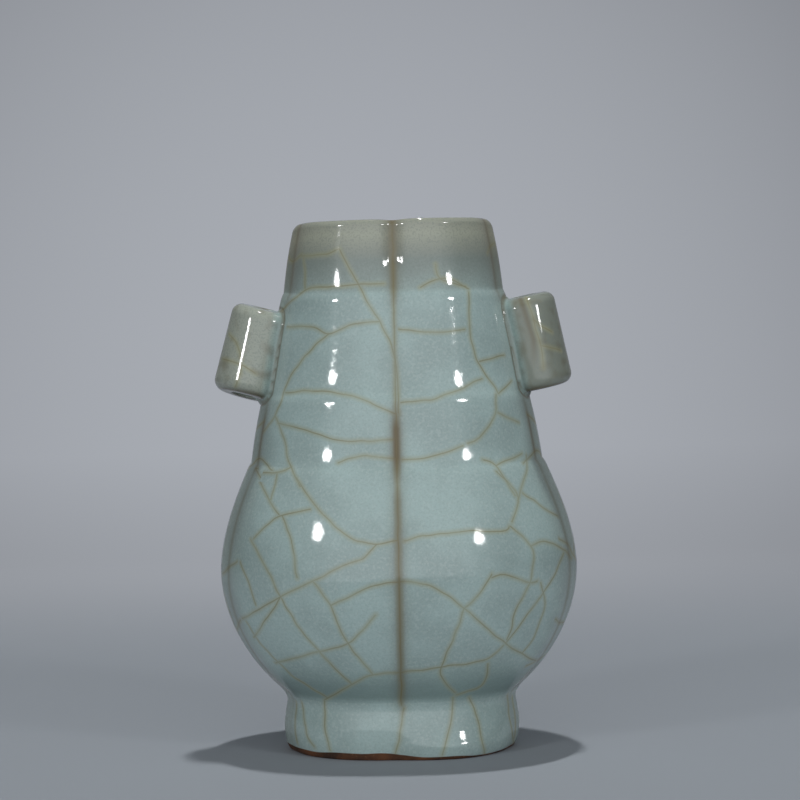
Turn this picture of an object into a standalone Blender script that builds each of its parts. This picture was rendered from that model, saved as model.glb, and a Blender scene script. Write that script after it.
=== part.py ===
"""Lobed arrow vase of glazed stoneware, as the clay pieces that a potter lutes together.

Metres, +Z up. The origin is the middle of the foot, on the table. The ears point along X and the
broad front faces -Y. Each band of the wall is a closed ring of clay with flat ends, and a thin ring
of slip lies in every seam between two bands.
"""
import math

import bmesh
import bpy
from mathutils import Matrix, Vector

for old in list(bpy.data.objects):
    bpy.data.objects.remove(old, do_unlink=True)

# Heights of the bands, from the table up.
FOOT_HEIGHT = 0.0250
LOWER_BELLY_HEIGHT = 0.0540
UPPER_BELLY_HEIGHT = 0.0475
SHOULDER_HEIGHT = 0.0300
NECK_HEIGHT = 0.0435
MOUTH_HEIGHT = 0.0300

# Half widths of the outside, measured along X to the crest of the side lobe.
FOOT_BASE_HALF_WIDTH = 0.0480
FOOT_BULGE_HALF_WIDTH = 0.0514
FOOT_NECK_HALF_WIDTH = 0.0498
BELLY_HALF_WIDTH = 0.0779
SHOULDER_BASE_HALF_WIDTH = 0.0642
NECK_BASE_HALF_WIDTH = 0.0578
MOUTH_BASE_HALF_WIDTH = 0.0484
RIM_HALF_WIDTH = 0.0431

# The oval plan, which is rounder at the belly, and its six lobes. The grooves' depths are below the crests.
DEPTH_RATIO = 0.76
BELLY_DEPTH_RATIO = 0.82
SIDE_GROOVE_ANGLE = math.radians(73)
SIDE_GROOVE_SHARE = 0.45
FOOT_GROOVE_DEPTH = 0.0018
BELLY_GROOVE_DEPTH = 0.0020
SHOULDER_GROOVE_DEPTH = 0.0018
NECK_GROOVE_DEPTH = 0.0012
MOUTH_GROOVE_DEPTH = 0.0034

# Shape of the wall between those widths.
FOOT_BULGE_HEIGHT = 0.0105
BELLY_TOP_SLOPE = 0.36
MOUTH_SWELL = 0.0010
LEDGE_STEP = 0.0008
LEDGE_ROUND = 0.0012
WALL = 0.0055
RIM_THICKNESS = 0.0046
RIM_ROUND = 0.0026

# The floor, let into the foot ring.
FLOOR_THICKNESS = 0.0080
FLOOR_EDGE_INSET = 0.0070
FLOOR_SEAT_WIDTH = 0.0040
FOOT_LAND = 0.0058

# The ears: tubes that lie along the neck.
EAR_BORE_RADIUS = 0.0055
EAR_WALL = 0.0070
EAR_BACK_WALL = 0.0020
EAR_END_ROUND = 0.0026
EAR_BORE_ROUND = 0.0012
LEFT_EAR_LENGTH = 0.0385
RIGHT_EAR_LENGTH = 0.0405
LEFT_EAR_HEIGHT = 0.0185
RIGHT_EAR_HEIGHT = 0.0203

# Slip seams, and the gap that every piece keeps to its neighbour.
LUTE_THICKNESS = 0.0006
LUTE_RECESS = 0.0005
LUTE_BEAD = 0.0008
EAR_LUTE_LIP = 0.0028
FIT_GAP = 0.0003

# How finely the curves are divided.
FRONT_LOBE_STEPS = 10
SIDE_LOBE_STEPS = 8
FOOT_WALL_STEPS = 6
BELLY_WALL_STEPS = 7
BAND_WALL_STEPS = 3
ROUND_STEPS = 3
EAR_STEPS = 32
PAD_CORNER_STEPS = 5
SHARP_EDGE = math.radians(40)

# Glaze and clay colours, as they look on a screen.
GLAZE_COLOUR = "9CAFAC"
EAR_GLAZE_COLOUR = "8D968C"
MOUTH_GLAZE_COLOUR = "8F9A95"
CLAY_COLOUR = "5B4537"
SLIP_COLOUR = "7A6A58"
GLAZE_ROUGHNESS = 0.12
CLAY_ROUGHNESS = 0.80

# Heights of the seams, worked out from the bands.
FOOT_SEAM = FOOT_HEIGHT
BELLY_SEAM = FOOT_SEAM + LOWER_BELLY_HEIGHT
SHOULDER_SEAM = BELLY_SEAM + UPPER_BELLY_HEIGHT
NECK_SEAM = SHOULDER_SEAM + SHOULDER_HEIGHT
MOUTH_SEAM = NECK_SEAM + NECK_HEIGHT
RIM_TOP = MOUTH_SEAM + MOUTH_HEIGHT

HALF_SEAM = LUTE_THICKNESS / 2 + FIT_GAP
EAR_SEAT = LUTE_THICKNESS + 2 * FIT_GAP
EAR_RADIUS = EAR_BORE_RADIUS + EAR_WALL
EAR_LEAN = math.atan2(NECK_BASE_HALF_WIDTH - MOUTH_BASE_HALF_WIDTH - LEDGE_STEP, NECK_HEIGHT)


def between(low, high, share):
    """The value at a share of the way from low to high."""
    return low + (high - low) * share


def steps(low, high, count):
    """Evenly spaced values from low to high, both included."""
    return [between(low, high, i / count) for i in range(count + 1)]


def foot_wall(z):
    """Half width of the foot: a soft bulge, drawn in above and rounded under below."""
    if z < FOOT_BULGE_HEIGHT:
        below = 1 - z / FOOT_BULGE_HEIGHT
        return between(FOOT_BASE_HALF_WIDTH, FOOT_BULGE_HALF_WIDTH, math.sqrt(1 - below * below))
    above = (z - FOOT_BULGE_HEIGHT) / (FOOT_HEIGHT - FOOT_BULGE_HEIGHT)
    return between(FOOT_BULGE_HALF_WIDTH, FOOT_NECK_HALF_WIDTH, above * above * (3 - 2 * above))


def belly_bowl_height():
    """Half height of the ellipse whose arc runs from the widest line to the foot."""
    return LOWER_BELLY_HEIGHT / math.sqrt(1 - (FOOT_NECK_HALF_WIDTH / BELLY_HALF_WIDTH) ** 2)


def lower_belly_wall(z, depth=0.0):
    """Half width of the bowl under the widest line, or of its inside at a depth in the wall."""
    share = (BELLY_SEAM - z) / (belly_bowl_height() - depth)
    return (BELLY_HALF_WIDTH - depth) * math.sqrt(1 - share * share)


def upper_belly_wall(z):
    """Half width of the dome: it leaves the ledge at a slope and turns upright at the widest line."""
    top = SHOULDER_BASE_HALF_WIDTH + LEDGE_STEP
    t = (SHOULDER_SEAM - z) / UPPER_BELLY_HEIGHT
    widest_share = t * t * (3 - 2 * t)
    slope_share = t * (1 - t) ** 2
    return between(top, BELLY_HALF_WIDTH, widest_share) + slope_share * UPPER_BELLY_HEIGHT * BELLY_TOP_SLOPE


def shoulder_wall(z):
    """Half width of the straight sloping shoulder."""
    top = NECK_BASE_HALF_WIDTH + LEDGE_STEP
    return between(SHOULDER_BASE_HALF_WIDTH, top, (z - SHOULDER_SEAM) / SHOULDER_HEIGHT)


def neck_wall(z):
    """Half width of the straight sloping neck."""
    top = MOUTH_BASE_HALF_WIDTH + LEDGE_STEP
    return between(NECK_BASE_HALF_WIDTH, top, (z - NECK_SEAM) / NECK_HEIGHT)


def mouth_wall(z):
    """Half width of the mouth, which swells a little between its base and the rim."""
    t = (z - MOUTH_SEAM) / MOUTH_HEIGHT
    return between(MOUTH_BASE_HALF_WIDTH, RIM_HALF_WIDTH, t) + 4 * MOUTH_SWELL * t * (1 - t)


def groove_depth(z):
    """Depth of the front and back grooves at a height, passing from band to band at their middles."""
    knots = [
        (FOOT_HEIGHT / 2, FOOT_GROOVE_DEPTH),
        (BELLY_SEAM, BELLY_GROOVE_DEPTH),
        ((SHOULDER_SEAM + NECK_SEAM) / 2, SHOULDER_GROOVE_DEPTH),
        ((NECK_SEAM + MOUTH_SEAM) / 2, NECK_GROOVE_DEPTH),
        ((MOUTH_SEAM + RIM_TOP) / 2, MOUTH_GROOVE_DEPTH),
    ]
    if z <= knots[0][0]:
        return knots[0][1]
    for (low, low_depth), (high, high_depth) in zip(knots, knots[1:]):
        if z <= high:
            return between(low_depth, high_depth, (z - low) / (high - low))
    return knots[-1][1]


def depth_ratio(z):
    """Depth of the oval at a height as a share of its width: it swells from foot and mouth to the belly."""
    below = (z - FOOT_SEAM) / (BELLY_SEAM - FOOT_SEAM)
    above = (MOUTH_SEAM - z) / (MOUTH_SEAM - BELLY_SEAM)
    share = max(0, min(below, above, 1))
    return between(DEPTH_RATIO, BELLY_DEPTH_RATIO, share * share * (3 - 2 * share))


def lobe_edges():
    """Where each lobe starts and ends round the plan, its number of steps and its two grooves' shares."""
    side = SIDE_GROOVE_ANGLE
    share = SIDE_GROOVE_SHARE
    return [
        (0, side, FRONT_LOBE_STEPS, 1, share),
        (side, math.pi - side, SIDE_LOBE_STEPS, share, share),
        (math.pi - side, math.pi, FRONT_LOBE_STEPS, share, 1),
        (math.pi, math.pi + side, FRONT_LOBE_STEPS, 1, share),
        (math.pi + side, 2 * math.pi - side, SIDE_LOBE_STEPS, share, share),
        (2 * math.pi - side, 2 * math.pi, FRONT_LOBE_STEPS, share, 1),
    ]


def plan_ring(z, half_width, inset=0.0, plan_at=None):
    """Points round the lobed oval at a height, with the plan of that height or another, moved inwards."""
    plan_height = z if plan_at is None else plan_at
    half_depth = half_width * depth_ratio(plan_height)
    groove = groove_depth(plan_height)
    ring = []
    for start, end, count, start_share, end_share in lobe_edges():
        for i in range(count):
            across = i / count
            angle = between(start, end, across)
            valley = (2 * across - 1) ** 2 * (start_share if across < 0.5 else end_share)
            normal = Vector((half_depth * math.sin(angle), -half_width * math.cos(angle), 0)).normalized()
            crest = Vector((half_width * math.sin(angle), -half_depth * math.cos(angle), z))
            ring.append(crest - normal * (inset + groove * valley))
    return ring


def round_ring(radius, height, count):
    """Points round a circle about Z."""
    turn = 2 * math.pi / count
    return [Vector((radius * math.cos(i * turn), radius * math.sin(i * turn), height)) for i in range(count)]


def srgb(hex_colour):
    """Linear colour, with alpha, of a screen colour."""
    channels = [int(hex_colour[i:i + 2], 16) / 255 for i in (0, 2, 4)]
    linear = [c / 12.92 if c <= 0.04045 else ((c + 0.055) / 1.055) ** 2.4 for c in channels]
    return (*linear, 1.0)


def ceramic(name, colour, roughness):
    """A plain fired-clay or glaze material."""
    material = bpy.data.materials.new(name)
    material.use_nodes = True
    shader = material.node_tree.nodes["Principled BSDF"]
    shader.inputs["Base Color"].default_value = srgb(colour)
    shader.inputs["Roughness"].default_value = roughness
    shader.inputs["Metallic"].default_value = 0.0
    return material


def add_object(name, bm, material=None):
    """Turn a bmesh into a smooth-shaded object with outward faces."""
    bmesh.ops.recalc_face_normals(bm, faces=bm.faces)
    mesh = bpy.data.meshes.new(name)
    bm.to_mesh(mesh)
    bm.free()
    mesh.shade_smooth()
    mesh.set_sharp_from_angle(angle=SHARP_EDGE)
    part = bpy.data.objects.new(name, mesh)
    bpy.context.collection.objects.link(part)
    if material:
        mesh.materials.append(material)
    return part


def ring_body(rings, closed):
    """A bmesh skinned over rings of equal count: a hoop if closed, otherwise capped at both ends."""
    bm = bmesh.new()
    loops = [[bm.verts.new(point) for point in ring] for ring in rings]
    pairs = list(zip(loops, loops[1:]))
    if closed:
        pairs.append((loops[-1], loops[0]))
    for low, high in pairs:
        for i in range(len(low)):
            j = (i + 1) % len(low)
            bm.faces.new((low[i], low[j], high[j], high[i]))
    if not closed:
        bm.faces.new(reversed(loops[0]))
        bm.faces.new(loops[-1])
    return bm


def band(name, wall, low, high, material, count, ledge, inner=None):
    """A ring of the vase's wall between two seams, with a rounded ledge on top where it has one."""
    inner = inner or (lambda z: wall(z) - WALL)
    bottom = low + HALF_SEAM
    top = high - HALF_SEAM
    shoulder = top - LEDGE_ROUND if ledge else top
    rings = [plan_ring(z, wall(z)) for z in steps(bottom, shoulder, count)]
    if ledge:
        for turn in steps(0, math.pi / 2, ROUND_STEPS)[1:]:
            z = shoulder + LEDGE_ROUND * math.sin(turn)
            rings.append(plan_ring(z, wall(z), LEDGE_ROUND * (1 - math.cos(turn))))
    rings += [plan_ring(z, wall(z), wall(z) - inner(z)) for z in reversed(steps(bottom, top, count))]
    return add_object(name, ring_body(rings, True), material)


def seam(name, half_width, height, inner_inset, material):
    """A flat hoop of slip in a seam, scraped back outside and left as a bead inside."""
    low = height - LUTE_THICKNESS / 2
    high = height + LUTE_THICKNESS / 2
    rings = [plan_ring(z, half_width, LUTE_RECESS, height) for z in (low, high)]
    rings += [plan_ring(z, half_width, inner_inset + LUTE_BEAD, height) for z in (high, low)]
    return add_object(name, ring_body(rings, True), material)


def make_foot_ring(material):
    """The ring that the vase stands on, with a ledge inside that carries the floor."""
    top = FOOT_SEAM - HALF_SEAM
    ledge = top - FLOOR_THICKNESS - FIT_GAP
    rings = [plan_ring(z, foot_wall(z)) for z in steps(0, FOOT_BULGE_HEIGHT, FOOT_WALL_STEPS // 2)]
    rings += [plan_ring(z, foot_wall(z)) for z in steps(FOOT_BULGE_HEIGHT, top, FOOT_WALL_STEPS // 2)[1:]]
    rebate = FLOOR_EDGE_INSET - FIT_GAP
    rings += [plan_ring(z, FOOT_NECK_HALF_WIDTH, rebate, FOOT_SEAM) for z in (top, ledge)]
    rings.append(plan_ring(ledge, FOOT_NECK_HALF_WIDTH, FLOOR_EDGE_INSET + FLOOR_SEAT_WIDTH, FOOT_SEAM))
    rings.append(plan_ring(0, FOOT_BASE_HALF_WIDTH, FOOT_LAND))
    return add_object("foot_ring", ring_body(rings, True), material)


def make_floor_slab(material):
    """The slab that closes the bottom, resting on the foot ring's ledge."""
    top = FOOT_SEAM - HALF_SEAM
    heights = (top - FLOOR_THICKNESS, top)
    rings = [plan_ring(z, FOOT_NECK_HALF_WIDTH, FLOOR_EDGE_INSET, FOOT_SEAM) for z in heights]
    return add_object("floor_slab", ring_body(rings, False), material)


def make_mouth_collar(material):
    """The topmost band, whose wall thins to a rounded rim."""
    bottom = MOUTH_SEAM + HALF_SEAM
    lip = RIM_TOP - RIM_ROUND
    rings = [plan_ring(z, mouth_wall(z)) for z in steps(bottom, lip, BAND_WALL_STEPS + 1)]
    half_lip = RIM_THICKNESS / 2
    for turn in steps(0, math.pi, 2 * ROUND_STEPS)[1:-1]:
        z = lip + RIM_ROUND * math.sin(turn)
        rings.append(plan_ring(z, mouth_wall(lip), half_lip * (1 - math.cos(turn))))
    for z in reversed(steps(bottom, lip, BAND_WALL_STEPS)):
        thickness = between(WALL, RIM_THICKNESS, (z - bottom) / (lip - bottom))
        rings.append(plan_ring(z, mouth_wall(z), thickness))
    return add_object("mouth_collar", ring_body(rings, True), material)


def neck_form(name, clearance):
    """The outside of neck and shoulder swollen by a clearance, as a hidden tool for cutting."""
    lift = clearance + FIT_GAP
    stages = [
        (shoulder_wall, NECK_SEAM - SHOULDER_HEIGHT / 2, NECK_SEAM + clearance),
        (neck_wall, NECK_SEAM + lift, MOUTH_SEAM + clearance),
        (mouth_wall, MOUTH_SEAM + lift, MOUTH_SEAM + MOUTH_HEIGHT / 2),
    ]
    rings = []
    for wall, low, high in stages:
        rings += [plan_ring(z, wall(z), -clearance) for z in steps(low, high, 2 * BAND_WALL_STEPS)]
    form = add_object(name, ring_body(rings, False))
    form.hide_render = True
    form.display_type = "WIRE"
    return form


def cut(part, tool, operation):
    """Add a Boolean to a part."""
    modifier = part.modifiers.new(tool.name, "BOOLEAN")
    modifier.object = tool
    modifier.operation = operation
    modifier.solver = "EXACT"


def ear_axis(side, height):
    """Matrix that stands a tube along the neck, its middle at a height above the neck's seam."""
    z = NECK_SEAM + height
    reach = neck_wall(z) + EAR_SEAT + EAR_BACK_WALL + EAR_BORE_RADIUS
    return Matrix.Translation((side * reach, 0, z)) @ Matrix.Rotation(-side * EAR_LEAN, 4, "Y")


def make_ear_tube(name, side, length, height, seat, material):
    """A short open tube with softened ends, its back cut to a saddle that sits on the neck."""
    end = length / 2
    rings = []
    for upper in (-1, 1):
        corner = []
        for turn in steps(0, math.pi / 2, ROUND_STEPS):
            radius = EAR_RADIUS - EAR_END_ROUND * (1 - math.cos(turn))
            corner.append((radius, upper * (end - EAR_END_ROUND * (1 - math.sin(turn)))))
        bore_edge = [
            (EAR_BORE_RADIUS + EAR_BORE_ROUND, upper * end),
            (EAR_BORE_RADIUS, upper * (end - EAR_BORE_ROUND)),
        ]
        profile = corner + bore_edge
        rings += profile if upper > 0 else reversed(profile)
    tube = add_object(name, ring_body([round_ring(r, z, EAR_STEPS) for r, z in rings], True), material)
    tube.matrix_world = ear_axis(side, height)
    cut(tube, seat, "DIFFERENCE")
    return tube


def make_ear_lute(name, side, length, height, inside, outside, material):
    """A pad of slip between ear and neck, a lip wider than the ear's saddle."""
    half_width = math.sqrt(EAR_RADIUS ** 2 - (EAR_BORE_RADIUS + EAR_BACK_WALL) ** 2) + EAR_LUTE_LIP
    half_height = length / 2 * math.cos(EAR_LEAN) + EAR_LUTE_LIP
    corner = EAR_LUTE_LIP + EAR_END_ROUND
    z = NECK_SEAM + height
    outline = []
    for quarter, (sign_y, sign_z) in enumerate(((1, 1), (-1, 1), (-1, -1), (1, -1))):
        for turn in steps(quarter * math.pi / 2, (quarter + 1) * math.pi / 2, PAD_CORNER_STEPS):
            outline.append((
                sign_y * (half_width - corner) + corner * math.cos(turn),
                z + sign_z * (half_height - corner) + corner * math.sin(turn),
            ))
    reach = neck_wall(z)
    ends = (side * (reach - half_width), side * (reach + half_width))
    rings = [[Vector((x, y, height_at)) for y, height_at in outline] for x in ends]
    pad = add_object(name, ring_body(rings, False), material)
    cut(pad, outside, "INTERSECT")
    cut(pad, inside, "DIFFERENCE")
    return pad


glaze = ceramic("celadon_glaze", GLAZE_COLOUR, GLAZE_ROUGHNESS)
thin_glaze = ceramic("thin_glaze_on_the_ears", EAR_GLAZE_COLOUR, GLAZE_ROUGHNESS)
mouth_glaze = ceramic("grey_glaze_at_the_mouth", MOUTH_GLAZE_COLOUR, GLAZE_ROUGHNESS)
clay = ceramic("bare_brown_clay", CLAY_COLOUR, CLAY_ROUGHNESS)
slip = ceramic("fired_slip", SLIP_COLOUR, CLAY_ROUGHNESS)

make_foot_ring(glaze)
make_floor_slab(clay)
band("lower_belly", lower_belly_wall, FOOT_SEAM, BELLY_SEAM, glaze, BELLY_WALL_STEPS, False,
     lambda z: lower_belly_wall(z, WALL))
band("upper_belly", upper_belly_wall, BELLY_SEAM, SHOULDER_SEAM, glaze, BELLY_WALL_STEPS, True)
band("shoulder_section", shoulder_wall, SHOULDER_SEAM, NECK_SEAM, glaze, BAND_WALL_STEPS, True)
band("neck_section", neck_wall, NECK_SEAM, MOUTH_SEAM, glaze, BAND_WALL_STEPS, True)
make_mouth_collar(mouth_glaze)

bowl_mouth = FOOT_NECK_HALF_WIDTH - lower_belly_wall(FOOT_SEAM, WALL)
seam("foot_lute", FOOT_NECK_HALF_WIDTH, FOOT_SEAM, bowl_mouth, slip)
seam("belly_lute", BELLY_HALF_WIDTH, BELLY_SEAM, WALL, slip)
seam("shoulder_lute", SHOULDER_BASE_HALF_WIDTH, SHOULDER_SEAM, WALL, slip)
seam("neck_lute", NECK_BASE_HALF_WIDTH, NECK_SEAM, WALL, slip)
seam("mouth_lute", MOUTH_BASE_HALF_WIDTH, MOUTH_SEAM, WALL, slip)

pad_inside = neck_form("pad_inside_form", FIT_GAP)
pad_outside = neck_form("pad_outside_form", FIT_GAP + LUTE_THICKNESS)
ear_seat = neck_form("ear_seat_form", EAR_SEAT)
ears = (("left", -1, LEFT_EAR_LENGTH, LEFT_EAR_HEIGHT), ("right", 1, RIGHT_EAR_LENGTH, RIGHT_EAR_HEIGHT))
for hand, side, length, height in ears:
    make_ear_tube(hand + "_ear_tube", side, length, height, ear_seat, thin_glaze)
    make_ear_lute(hand + "_ear_lute", side, length, height, pad_inside, pad_outside, slip)
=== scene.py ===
import math

import bpy
import numpy as np
from mathutils import Matrix, Vector, kdtree, noise
from mathutils.bvhtree import BVHTree


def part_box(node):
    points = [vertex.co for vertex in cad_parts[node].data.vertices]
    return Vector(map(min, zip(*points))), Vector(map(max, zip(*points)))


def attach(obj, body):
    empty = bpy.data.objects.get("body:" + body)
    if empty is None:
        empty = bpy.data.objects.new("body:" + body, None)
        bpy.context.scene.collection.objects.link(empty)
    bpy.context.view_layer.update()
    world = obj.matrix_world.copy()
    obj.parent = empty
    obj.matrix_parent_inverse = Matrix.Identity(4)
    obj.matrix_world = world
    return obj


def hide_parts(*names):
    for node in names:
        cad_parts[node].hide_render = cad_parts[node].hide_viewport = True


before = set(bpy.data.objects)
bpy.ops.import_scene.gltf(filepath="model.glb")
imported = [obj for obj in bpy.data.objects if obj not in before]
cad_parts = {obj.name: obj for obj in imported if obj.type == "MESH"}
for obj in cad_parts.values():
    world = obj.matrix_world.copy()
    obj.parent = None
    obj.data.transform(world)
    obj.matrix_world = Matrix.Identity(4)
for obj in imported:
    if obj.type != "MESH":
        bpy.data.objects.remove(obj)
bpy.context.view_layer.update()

# The foot: a lobed ring of stoneware that carries the vase, pressed from the same clay as the wall.
# It is dipped in glaze down to its last few millimetres, where the bare clay fired to an iron brown,
# and a step inside it takes the floor.
DEPTH_RATIO = 0.76
BELLY_DEPTH_RATIO = 0.82
RIM_DEPTH_RATIO = 0.763
WHEEL_STEPS = 360
ROW = 0.0010
INSIDE_ROW = 0.0030
MERGE = 0.000001
SIDE_GROOVE_ANGLE = math.radians(73)
SIDE_GROOVE_SHARE = 0.45
GROOVE_ROUND = 0.0036
GROOVE_HEIGHTS = (0.0125, 0.0790, 0.1415, 0.1780, 0.2150)
GROOVE_DEPTHS = (0.0018, 0.0020, 0.0018, 0.0012, 0.0034)
PINCH_HEIGHTS = (0.200, 0.213, 0.230)
PINCH_DEPTHS = (0.0, 0.0017, 0.0017)
PINCH_HALF_WIDTH = 0.0042
WARP = 0.00030
WARP_SIZE = 0.045
LOBE_SWELL = 0.00022
LOBE_SWELL_HEIGHT = 0.099
LOBE_SWELL_REACH = 0.012
FOOT_BASE_HALF_WIDTH = 0.0480
GLAZE_COAT = 0.0002
FOOT_BULGE_HALF_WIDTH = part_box("foot_ring")[1].x + GLAZE_COAT
FOOT_BULGE_HEIGHT = 0.0105
FOOT_NECK_HALF_WIDTH = 0.0498
FOOT_CREASE_HEIGHT = 0.0036
FOOT_CREASE_FILL = 0.0012
FOOT_CURL_STEP = 0.10
FOOT_LAND = 0.0058
FLOOR_SEAT = 0.0040
FLOOR_EDGE_INSET = 0.0070
FLOOR_GAP = 0.0003
FOOT_SEAM = (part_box("foot_ring")[1].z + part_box("lower_belly")[0].z) / 2
BELLY_SEAM = (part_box("lower_belly")[1].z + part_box("upper_belly")[0].z) / 2
MOUTH_SEAM = (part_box("neck_section")[1].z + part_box("mouth_collar")[0].z) / 2
RIM_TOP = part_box("mouth_collar")[1].z
FLOOR_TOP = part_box("floor_slab")[1].z
FLOOR_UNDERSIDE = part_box("floor_slab")[0].z
RIGHT_FLARE = 0.255
RIGHT_FLARE_LOW = 0.0060
RIGHT_FLARE_HIGH = 0.0165
RIGHT_FLARE_ACROSS = (-0.005, 0.030)
BARE_EDGE_LEFT = 0.0034
BARE_EDGE_RIGHT = 0.0010
BARE_EDGE_ACROSS = (-0.020, 0.030)
BARE_EDGE_LEAST = 0.0004
BARE_EDGE_WAVE = 0.0012
BARE_EDGE_WAVE_SIZE = 0.016
ALL_BARE = -1.0
outline = []


def between(low, high, share):
    """The value at a share of the way from low to high."""
    return low + (high - low) * share


def ease(share):
    """A share from 0 to 1, made to start and to end gently."""
    return share * share * (3 - 2 * share)


def rows(low, high, spacing):
    """Heights from low to high, about a spacing apart, both ends included."""
    count = max(1, round(abs(high - low) / spacing))
    return [between(low, high, i / count) for i in range(count + 1)]


def places_of(piece):
    """The places of a piece's points, one row each."""
    flat = np.empty(len(piece.data.vertices) * 3)
    piece.data.vertices.foreach_get("co", flat)
    return flat.reshape(-1, 3)


def set_places(piece, places):
    """Move a piece's points to new places."""
    piece.data.vertices.foreach_set("co", places.ravel())
    piece.data.update()


def unevenness(places, size):
    """Soft noise at each place, from about -1 to 1, with swells of a given size."""
    return np.array([noise.noise(Vector(place) / size) for place in places])


def depth_ratio(heights):
    """Depth of the oval at each height as a share of its width: belly and rim are rounder than the rest."""
    below = (heights - FOOT_SEAM) / (BELLY_SEAM - FOOT_SEAM)
    above = (MOUTH_SEAM - heights) / (MOUTH_SEAM - BELLY_SEAM)
    share = np.clip(np.minimum(below, above), 0, 1)
    ratio = between(DEPTH_RATIO, BELLY_DEPTH_RATIO, ease(share))
    return ratio + np.interp(heights, (MOUTH_SEAM, RIM_TOP), (0, RIM_DEPTH_RATIO - DEPTH_RATIO))


def turn_of(places):
    """Angle round the oval, from the middle of the front towards +X, before the oval was squeezed."""
    return np.arctan2(places[:, 0], -places[:, 1] / depth_ratio(places[:, 2]))


def groove_share(places):
    """How far the wall draws in towards the nearest groove: 0 on a lobe's crest and 1 in a middle groove."""
    turn = np.abs(turn_of(places))
    side = SIDE_GROOVE_ANGLE
    starts = np.array((0, side, math.pi - side, math.pi))
    lobe = np.clip(np.searchsorted(starts, turn, side="right") - 1, 0, 2)
    length = starts[lobe + 1] - starts[lobe]
    across = (turn - starts[lobe]) / length
    most = np.array((1, SIDE_GROOVE_SHARE, SIDE_GROOVE_SHARE, 1))[np.where(across < 0.5, lobe, lobe + 1)]
    off_groove = 1 - np.abs(2 * across - 1)
    reach = np.maximum(np.hypot(places[:, 0], places[:, 1]), GROOVE_ROUND)
    softness = GROOVE_ROUND / (reach * length / 2)
    rounded = (np.hypot(off_groove, softness) - softness) / (np.hypot(1, softness) - softness)
    return most * np.clip(1 - rounded, 0, 1) ** 2


def oval_normal(places):
    """Level unit vectors that point straight out of the oval."""
    depth = places[:, 1] / depth_ratio(places[:, 2]) ** 2
    out = np.column_stack((places[:, 0], depth, np.zeros(len(places))))
    return out / np.maximum(np.linalg.norm(out, axis=1), MERGE)[:, None]


def groove_depth(heights):
    """Depth of the grooves at each height."""
    return np.interp(heights, GROOVE_HEIGHTS, GROOVE_DEPTHS)


def throw(name, profile, steps=WHEEL_STEPS, squeeze=DEPTH_RATIO):
    """Turn a closed profile of half widths and heights into a ring, and squeeze it to the oval."""
    bpy.ops.object.select_all(action="DESELECT")
    bpy.ops.mesh.primitive_circle_add(vertices=len(profile), radius=profile[0][0])
    ring = bpy.context.object
    ring.name = name
    for vertex, (half_width, z) in zip(ring.data.vertices, profile):
        vertex.co = (half_width, 0, z)
    wheel = ring.modifiers.new("wheel", "SCREW")
    wheel.steps = wheel.render_steps = steps
    wheel.use_merge_vertices = True
    wheel.merge_threshold = MERGE
    bpy.ops.object.modifier_apply(modifier=wheel.name)
    bpy.ops.object.mode_set(mode="EDIT")
    bpy.ops.mesh.select_all(action="SELECT")
    bpy.ops.mesh.remove_doubles(threshold=MERGE)
    bpy.ops.transform.resize(value=(1, squeeze, 1), center_override=(0, 0, 0))
    bpy.ops.mesh.normals_make_consistent(inside=False)
    bpy.ops.object.mode_set(mode="OBJECT")
    bpy.ops.object.shade_smooth()
    return ring


def press_lobes(piece):
    """Press the upright grooves into a thrown ring and leave the wall a little uneven, as a hand does."""
    places = places_of(piece)
    x, _, z = places.T
    places[:, 1] *= depth_ratio(z) / DEPTH_RATIO
    depth = groove_depth(z) * groove_share(places) + WARP * unevenness(places, WARP_SIZE)
    depth += np.interp(z, PINCH_HEIGHTS, PINCH_DEPTHS) * np.exp(-(x / PINCH_HALF_WIDTH) ** 2)
    # One lobe of the belly swells a little higher up than its neighbour.
    rise = (z - LOBE_SWELL_HEIGHT) / LOBE_SWELL_REACH
    depth += LOBE_SWELL * rise * np.exp((1 - rise ** 2) / 2) * np.sin(2 * turn_of(places))
    set_places(piece, places - oval_normal(places) * depth[:, None])


def note(piece, name, values, domain="POINT"):
    """Write one number for each point, or each face corner, of a piece, for its glaze to read."""
    values = np.asarray(values, dtype=np.float32)
    piece.data.attributes.new(name, "FLOAT", domain).data.foreach_set("value", values)


def linear(hex_colour):
    """An sRGB hex colour as linear red, green, blue and alpha."""
    parts = [int(hex_colour[i:i + 2], 16) / 255 for i in (0, 2, 4)]
    return (*[c / 12.92 if c <= 0.04045 else ((c + 0.055) / 1.055) ** 2.4 for c in parts], 1)


def add_node(tree, kind, inputs, **settings):
    """Add a node with its settings, and give each of its inputs a value or a link."""
    node = tree.nodes.new(kind)
    for name, value in settings.items():
        setattr(node, name, value)
    for name, value in inputs.items():
        if isinstance(value, bpy.types.NodeSocket):
            tree.links.new(value, node.inputs[name])
        else:
            node.inputs[name].default_value = value
    return node


# Celadon: a thick, opaque stoneware glaze, clouded and full of fine bubbles, with a soft gloss. It crazed
# as it cooled, and its cracks were stained ochre. Where it ran thin, the clay greys it. The bubbles and
# pits are drawn coarser than they are, so that they show.
CELADON = "A7BCBA"
CELADON_CLOUD = "9DB0AE"
BUBBLE_COLOUR = "BACAC7"
PIT_COLOUR = "7C8580"
# The colour of smoke in the glaze, and of painted shade in the side grooves, over the side lobes and under
# the ears.
SMOKE_AND_SHADE_GLAZE = "685C42"
CRACK_HALO = "A0A286"
CRACK_STAIN = "7A704A"
CLOUD_SIZE = 0.022
CLOUD_RANGE = (0.36, 0.64)
BUBBLE_SIZE = 0.0014
BUBBLE_RANGE = (0.48, 0.68)
BUBBLE_SHARE = 0.30
PIT_SIZE = 0.0008
PIT_RANGE = (0.46, 0.66)
PIT_SHARES = (0.16, 0.36)
PIT_DEPTH = 0.000010
RIPPLE_SIZE = 0.0050
RIPPLE_DEPTH = 0.00006
HALO_HALF_WIDTH = 0.0022
HALO_SHARE = 0.60
CRACK_HALF_WIDTH = 0.00044
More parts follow.
